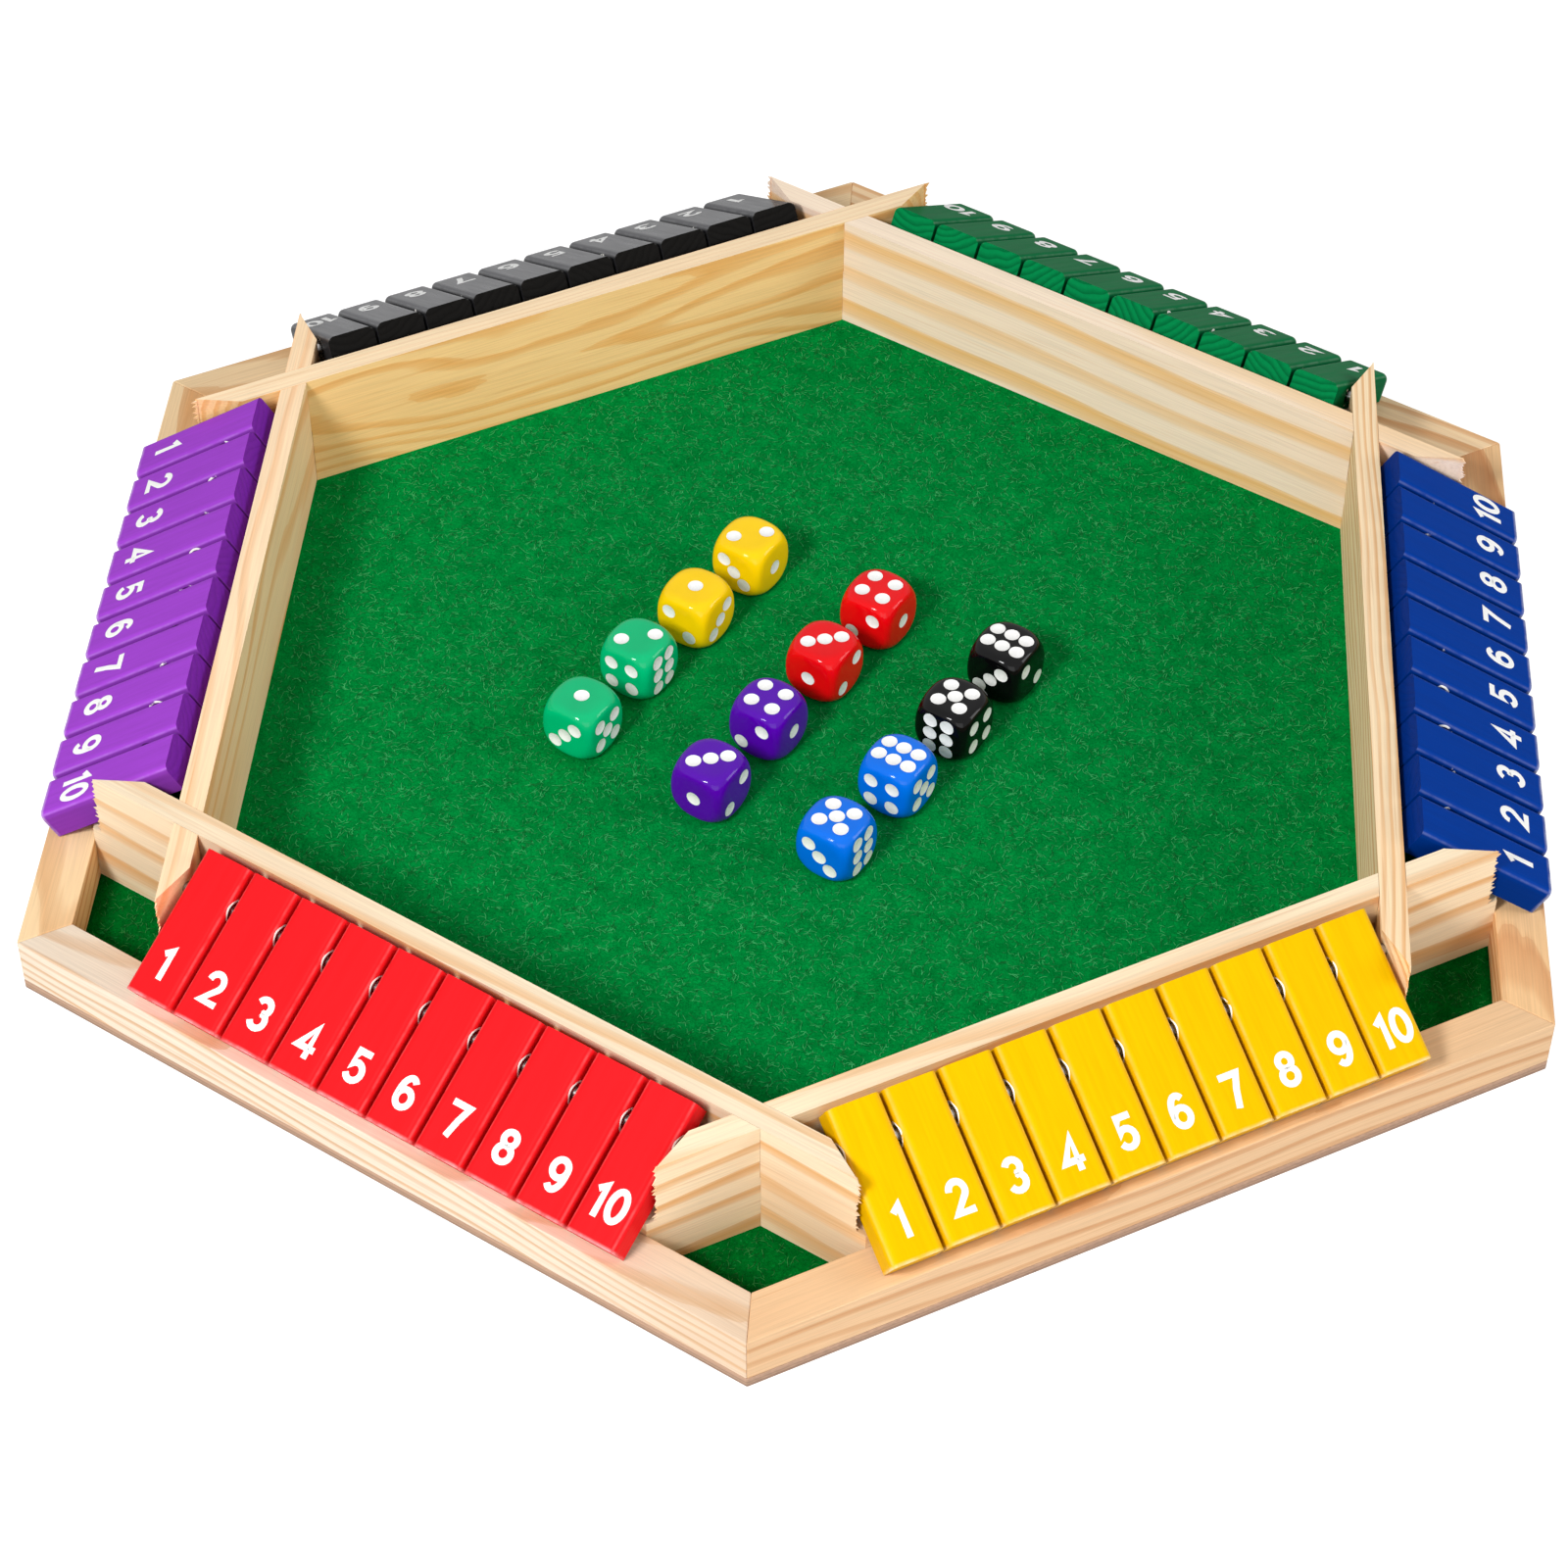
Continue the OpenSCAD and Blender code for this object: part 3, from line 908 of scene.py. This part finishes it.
def felt_mesh(dice):
    """The glued felt as a closed sheet: a field of triangles, its rim and its underside."""
    n = FELT_GRID
    step = FELT_HIGH.x / n
    spots = [(q, r) for q in range(-n, n + 1) for r in range(-n, n + 1) if abs(q + r) <= n]
    index = {spot: i for i, spot in enumerate(spots)}
    flat = [((q + r / 2) * step, r * math.sqrt(0.75) * step) for q, r in spots]
    points = [(x, y, felt_height(x, y, dice)) for x, y in flat]
    faces = []
    for q, r in spots:
        for corners in (((q, r), (q + 1, r), (q, r + 1)), ((q, r), (q + 1, r - 1), (q + 1, r))):
            if all(corner in index for corner in corners):
                faces.append(tuple(index[corner] for corner in corners))
    ends = ((n, 0), (0, n), (-n, n), (-n, 0), (0, -n), (n, -n))
    rim = [index[(a[0] + (b[0] - a[0]) * i // n, a[1] + (b[1] - a[1]) * i // n)]
           for a, b in zip(ends, ends[1:] + ends[:1]) for i in range(n)]
    first = len(points)
    points += [(*flat[i], FELT_LOW.z) for i in rim]
    for i, top in enumerate(rim):
        after = (i + 1) % len(rim)
        faces.append((top, first + i, first + after, rim[after]))
    faces.append(tuple(range(len(points) - 1, first - 1, -1)))
    return points, faces


def add_felt(dice, material):
    sheet = new_piece("felt_lining", *felt_mesh(dice), material, "felt", "frame")
    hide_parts("felt_sheet")


def fibre_mesh(dice):
    """Short curly ribbons lying on the felt."""
    chance = random.Random(11)
    points, faces = [], []
    corner = RAIL_INNER / math.cos(math.radians(30))
    made = 0
    while made < FIBRES:
        x, y = chance.uniform(-corner, corner), chance.uniform(-RAIL_INNER, RAIL_INNER)
        heading, bend = chance.uniform(0, 2 * math.pi), chance.gauss(0, FIBRE_BEND)
        step = chance.uniform(*FIBRE_STEP)
        line = [Vector((x, y))]
        for _ in range(FIBRE_STEPS):
            heading += bend + chance.gauss(0, FIBRE_WAVER)
            line.append(line[-1] + Vector((math.cos(heading), math.sin(heading))) * step)
        if min(walls_apart(p.x, p.y) for p in (line[0], line[2], line[-1])) < WALL_CLEAR:
            continue
        if min((p - die.xy).length for p in (line[0], line[-1]) for die in dice) < DIE_CLEAR:
            continue
        lift = chance.uniform(*FIBRE_LIFT_MM) * MM
        first = len(points)
        for i, p in enumerate(line):
            way = (line[min(i + 1, FIBRE_STEPS)] - line[max(i - 1, 0)]).normalized()
            across = Vector((-way.y, way.x)) * FIBRE_WIDTH / 2
            arch = lift * math.sin(math.pi * i / FIBRE_STEPS)
            z = felt_height(p.x, p.y, dice) + FIBRE_LIE + arch
            points += [(p.x + across.x, p.y + across.y, z), (p.x - across.x, p.y - across.y, z)]
        faces += [(first + 2 * i, first + 2 * i + 1, first + 2 * i + 3, first + 2 * i + 2)
                  for i in range(FIBRE_STEPS)]
        made += 1
    return points, faces


# ---------------------------------------------------------------- stage, light and camera

WHITE = (1, 1, 1, 1)
# Grey of the floor where it bounces light, and where it is seen; there it also glows, so that
# it is white with a soft shadow
FLOOR_BOUNCE = (0.8, 0.8, 0.8, 1)
FLOOR_SEEN = (0.35, 0.35, 0.35, 1)
FLOOR_GLOW = 0.88
FLOOR_DROP = 0.2 * MM
# Strength of the sky's light; where the sky is seen it is fully white
SKY_LEVEL = 0.34


def seen_directly(nodes, links):
    """1 for what the camera sees straight, in a reflection or through glass."""
    path = nodes.new("ShaderNodeLightPath")
    seen = path.outputs["Is Camera Ray"]
    for kind in ("Is Glossy Ray", "Is Transmission Ray"):
        either = nodes.new("ShaderNodeMath")
        either.operation = "MAXIMUM"
        links.new(seen, either.inputs[0])
        links.new(path.outputs[kind], either.inputs[1])
        seen = either.outputs[0]
    return seen


def add_stage():
    """A white floor that keeps a soft shadow, under a white sky."""
    bpy.ops.mesh.primitive_plane_add(size=6, location=(0, 0, -FLOOR_DROP))
    floor = bpy.context.object
    floor.name = "floor"
    s = Shader("floor_white", {"Roughness": 0.9, "Specular IOR Level": 0.0})
    seen = seen_directly(s.tree.nodes, s.tree.links)
    s.join(s.surface.inputs["Base Color"], s.mix(seen, FLOOR_BOUNCE, FLOOR_SEEN))
    s.join(s.surface.inputs["Emission Color"], WHITE)
    s.join(s.surface.inputs["Emission Strength"], s.math("MULTIPLY", seen, FLOOR_GLOW))
    floor.data.materials.append(s.material)

    world = bpy.data.worlds.new("white_sky")
    bpy.context.scene.world = world
    world.use_nodes = True
    nodes, links = world.node_tree.nodes, world.node_tree.links
    level = nodes.new("ShaderNodeMapRange")
    level.inputs["To Min"].default_value = SKY_LEVEL
    level.inputs["To Max"].default_value = 1.0
    links.new(seen_directly(nodes, links), level.inputs["Value"])
    links.new(level.outputs[0], nodes["Background"].inputs["Strength"])
    nodes["Background"].inputs["Color"].default_value = WHITE


def direction(azimuth, elevation):
    """The way from the box towards a place around it. Azimuth 0 is in front of it, at -Y."""
    level = math.cos(elevation)
    return Vector((math.sin(azimuth) * level, -math.cos(azimuth) * level, math.sin(elevation)))


def add_light(name, azimuth, elevation, distance, size, power):
    """A soft square lamp aimed at the box, its angles in degrees."""
    way = direction(math.radians(azimuth), math.radians(elevation))
    lamp = bpy.data.lights.new(name, "AREA")
    lamp.size = size
    lamp.energy = power
    light = bpy.data.objects.new(name, lamp)
    light.location = way * distance
    light.rotation_mode = "QUATERNION"
    light.rotation_quaternion = way.to_track_quat("Z", "Y")
    bpy.context.scene.collection.objects.link(light)


def add_camera():
    back = direction(CAMERA_AZIMUTH, CAMERA_ELEVATION)
    right = Vector((math.cos(CAMERA_AZIMUTH), math.sin(CAMERA_AZIMUTH), 0))
    up = back.cross(right)
    tilted_right = right * math.cos(CAMERA_ROLL) + up * math.sin(CAMERA_ROLL)
    tilted_up = up * math.cos(CAMERA_ROLL) - right * math.sin(CAMERA_ROLL)
    turn = Matrix((tilted_right, tilted_up, back)).transposed().to_4x4()
    camera = bpy.data.objects.new("camera", bpy.data.cameras.new("camera"))
    camera.matrix_world = Matrix.Translation(CAMERA_PLACE) @ turn
    camera.data.sensor_width = SENSOR_WIDTH_MM
    camera.data.lens = FOCAL_LENGTH_PX / PHOTO_WIDTH_PX * SENSOR_WIDTH_MM
    camera.data.clip_start = 0.05
    camera.data.clip_end = 20
    bpy.context.scene.collection.objects.link(camera)
    bpy.context.scene.camera = camera


# ---------------------------------------------------------------- the scene

# Breadth of the wood's eased edges
EASED_EDGE = 0.35 * MM
# Each side's board: pith out from the box's middle and up, ring spacing, tilt, late wood's
# share, how far its top is painted paler as painted light, and the screen colours of its
# early and late wood
WALL_GRAIN = {
    "red": ((90 * MM, -12 * MM), 6.0 * MM, 0.03, 0.32, 0.25, ((236, 214, 182), (220, 166, 104))),
    "yellow": ((105 * MM, -20 * MM), 6.5 * MM, -0.02, 0.32, 0.25,
               ((252, 228, 192), (228, 168, 100))),
    "blue": ((60 * MM, -20 * MM), 1.9 * MM, 0.004, 0.4, 0.12, ((254, 226, 184), (224, 162, 96))),
    "green": ((126 * MM, -24 * MM), 11.0 * MM, -0.02, 0.42, 0.4,
              ((255, 229, 206), (246, 190, 116))),
    "black": ((95 * MM, 24 * MM), 1.7 * MM, 0.012, 0.4, 0.6, ((255, 210, 146), (240, 174, 96))),
    "purple": ((60 * MM, -5 * MM), 4.4 * MM, 0.006, 0.32, 0.3, ((255, 218, 172), (238, 168, 98))),
}
RAIL_GRAIN = {
    "red": ((172 * MM, -40 * MM), 3.0 * MM, 0.05, 0.35, 0, ((230, 213, 192), (208, 166, 124))),
    "yellow": ((176 * MM, -60 * MM), 5.5 * MM, 0.03, 0.3, 0, ((228, 190, 148), (204, 150, 102))),
    "blue": ((178 * MM, -4 * MM), 3.6 * MM, 0.1, 0.45, 0, ((236, 194, 144), (200, 132, 80))),
    "green": ((160 * MM, 30 * MM), 4.0 * MM, 0.02, 0.4, 0, ((244, 214, 172), (214, 160, 108))),
    "black": ((170 * MM, -20 * MM), 4.0 * MM, -0.03, 0.4, 0, ((240, 210, 166), (214, 162, 108))),
    "purple": ((172 * MM, -40 * MM), 3.2 * MM, 0.05, 0.34, 0, ((244, 212, 166), (214, 158, 102))),
}


def dress_wood():
    for i, colour in enumerate(COLOURS):
        woods = {}
        for kind, grain, seed in (("rail", RAIL_GRAIN, 5.3), ("wall", WALL_GRAIN, 3.7)):
            board = f"{kind}_{colour}"
            woods[kind] = pine(f"pine_{board}", side_angle(colour), *grain[colour], seed * i + 1)
            dress(board, woods[kind], EASED_EDGE)
        new_piece(f"splinters_{colour}", *splinter_mesh(colour), woods["wall"], "pine", "frame",
                  smooth=False)
    dress("base_board", plywood(), EASED_EDGE)


def dress_rods():
    rod_steel = steel()
    for colour in COLOURS:
        dress(f"rod_{colour}", rod_steel)


# Screen colours of each player's tiles and their sawn ends, the painted light level of the
# tiles' sides (painted shade below 1), how far the wood shows through, roughness, gloss, and
# how much of the bores' rims is chipped bare and painted whiter as a painted highlight
TILE_PAINT = {
    "red": ((230, 28, 34), (220, 24, 30), 1.1, 0.10, 0.4, 0.035, 0.6),
    "yellow": ((240, 186, 0), (230, 174, 0), 0.85, 0.06, 0.36, 0.035, 0.25),
    "blue": ((0, 56, 148), (3, 46, 128), 0.7, 0.15, 0.4, 0.02, 0.1),
    "green": ((2, 112, 62), (5, 124, 68), 0.75, 0.8, 0.4, 0.004, 0.06),
    "black": ((76, 76, 80), (18, 17, 16), 0.35, 0.6, 0.3, 0.05, 0.06),
    "purple": ((158, 68, 202), (118, 38, 166), 0.6, 0.2, 0.42, 0.02, 0.1),
}
# Screen colours of the dice
DIE_PLASTIC = {
    "red": (232, 4, 14),
    "yellow": (255, 210, 4),
    "blue": (0, 112, 232),
    "green": (0, 184, 118),
    "black": (8, 8, 9),
    "purple": (84, 0, 170),
}


def dress_tiles():
    number_white = white_paint("number_white", 0.35)
    for colour in COLOURS:
        coat = paint(colour, *TILE_PAINT[colour])
        for body in sorted({tile_body(colour, number) for number in range(1, TILES + 1)}):
            dress(body, coat)
        add_numbers(colour, number_white)


def dress_dice():
    grid = die_face_grid()
    pip_white = white_paint("pip_white", 0.2)
    centres = []
    for colour in COLOURS:
        centres += add_dice(colour, plastic(colour, DIE_PLASTIC[colour]), pip_white, grid)
    return centres


dress_wood()
dress_rods()
dress_tiles()
dice_places = dress_dice()
add_felt(dice_places, felt())
new_piece("felt_fibres", *fibre_mesh(dice_places), fibre_green(), "felt", "frame")
add_stage()
add_light("key", azimuth=-2, elevation=43, distance=1.3, size=0.26, power=12.4)
add_light("fill", azimuth=40, elevation=16, distance=1.5, size=0.9, power=4.0)
add_light("side", azimuth=118, elevation=25, distance=1.6, size=0.8, power=9.5)
add_camera()

bpy.context.scene.view_settings.view_transform = "Standard"
